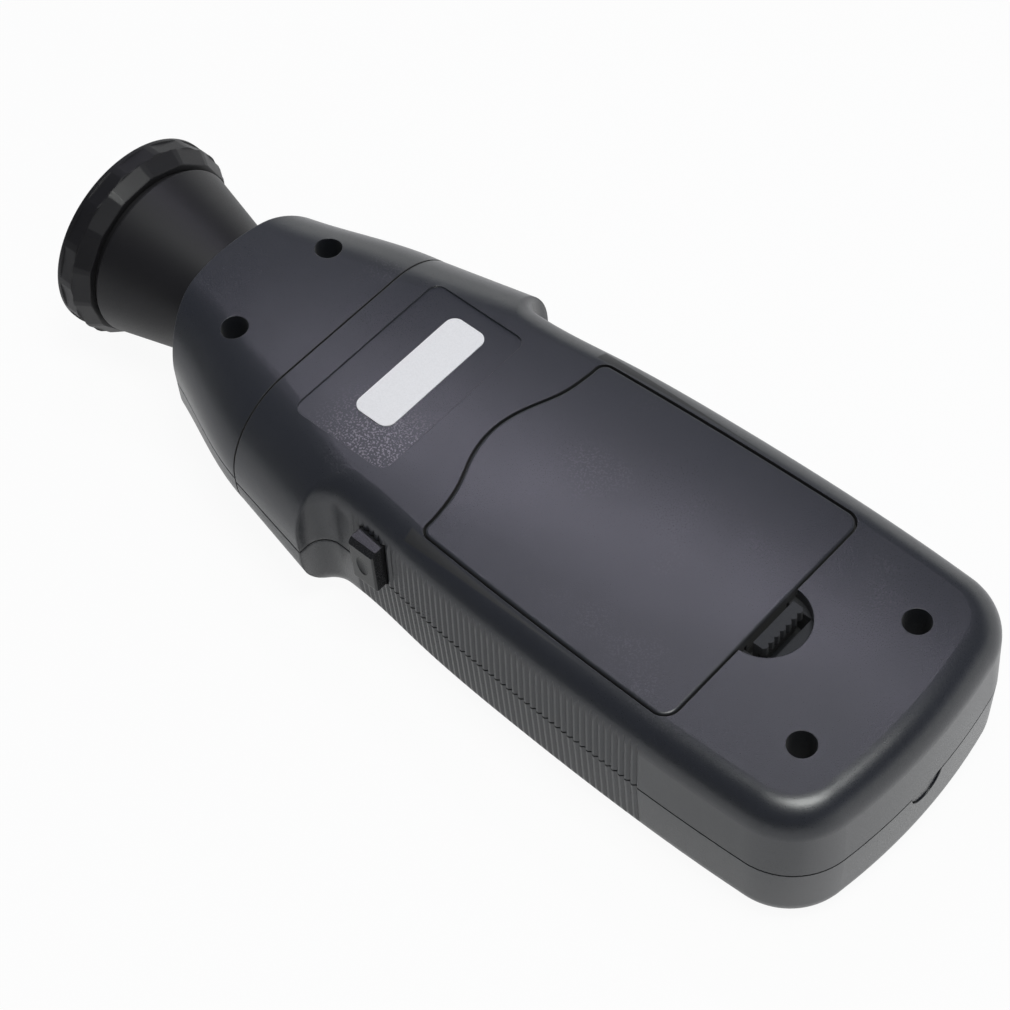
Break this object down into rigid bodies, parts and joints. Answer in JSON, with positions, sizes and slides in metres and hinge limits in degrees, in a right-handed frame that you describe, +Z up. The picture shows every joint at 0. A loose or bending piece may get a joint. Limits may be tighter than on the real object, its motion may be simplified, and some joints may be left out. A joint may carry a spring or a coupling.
{
  "type": "stroboscope tachometer",
  "caption": "Handheld stroboscope tachometer with ribbed grip, tapered nose, conical lamp barrel, faceted ring, side button and battery door.",
  "frame": {"origin": "bottom centre of the bounding box: below the middle of the length, at the lowest point of the bezel ring", "axes": "+X toward the lamp, +Y toward the side button, +Z up out of the battery door; the display side is down"},
  "size_m": [0.215, 0.0758, 0.0458],
  "materials": {
    "housing": "fine spark texture, dark slate",
    "barrel_black": "satin black",
    "button_black": "smooth black",
    "clear_window": "clear polished",
    "reflector_metal": "polished",
    "circuit_board": "green lacquer",
    "display_glass": "grey-green",
    "frame_white": "plain",
    "lamp_yellow": "clear dome over yellow",
    "mat_rubber": "plain",
    "cell_jacket": "plain jacket",
    "contact_steel": "nickelled strip",
    "screw_steel": "blackened",
    "sticker_paper": "blank white film"
  },
  "bodies": {
    "housing": {"battery_cell_1": "cell_jacket", "battery_cell_2": "cell_jacket", "battery_cell_3": "cell_jacket", "battery_cell_4": "cell_jacket", "bezel_ring": "barrel_black", "board_screws": "screw_steel", "contact_bridge_1": "contact_steel", "contact_bridge_2": "contact_steel", "contact_bridge_3": "contact_steel", "contact_minus": "contact_steel", "contact_plus": "contact_steel", "display_window": "clear_window", "front_cover": "housing", "front_lens": "clear_window", "key_mat": "mat_rubber", "label_sticker": "sticker_paper", "lamp_barrel": "barrel_black", "lamp_board": "circuit_board", "lamp_led": "lamp_yellow", "lcd_frame": "frame_white", "lcd_panel": "display_glass", "main_board": "circuit_board", "nose_front_shell": "housing", "nose_rear_shell": "housing", "nose_screws": "screw_steel", "rear_cover": "housing", "reflector": "reflector_metal", "tail_screws": "screw_steel", "trigger_switch": "frame_white"},
    "door": {"battery_door": "housing"},
    "button": {"measure_button": "button_black"},
    "mode_key": {"key_mode": "button_black"},
    "up_key": {"key_up": "button_black"},
    "down_key": {"key_down": "button_black"},
    "double_key": {"key_double": "button_black"},
    "half_key": {"key_half": "button_black"}
  },
  "joints": [
    {"name": "battery_door_hinge", "type": "hinge", "parent": "housing", "child": "door", "pos_m": [-0.0058, 0, 0.0402], "axis": [0, 1, 0], "range_deg": [0, 60]},
    {"name": "measure_button_press", "type": "slide", "parent": "housing", "child": "button", "axis": [0, -1, 0], "range_m": [0, 0.0009], "stiffness_N_per_m": 400},
    {"name": "key_mode_press", "type": "slide", "parent": "housing", "child": "mode_key", "axis": [0, 0, 1], "range_m": [0, 0.0006], "stiffness_N_per_m": 400},
    {"name": "key_up_press", "type": "slide", "parent": "housing", "child": "up_key", "axis": [0, 0, 1], "range_m": [0, 0.0006], "stiffness_N_per_m": 400},
    {"name": "key_down_press", "type": "slide", "parent": "housing", "child": "down_key", "axis": [0, 0, 1], "range_m": [0, 0.0006], "stiffness_N_per_m": 400},
    {"name": "key_double_press", "type": "slide", "parent": "housing", "child": "double_key", "axis": [0, 0, 1], "range_m": [0, 0.0006], "stiffness_N_per_m": 400},
    {"name": "key_half_press", "type": "slide", "parent": "housing", "child": "half_key", "axis": [0, 0, 1], "range_m": [0, 0.0006], "stiffness_N_per_m": 400}
  ]
}
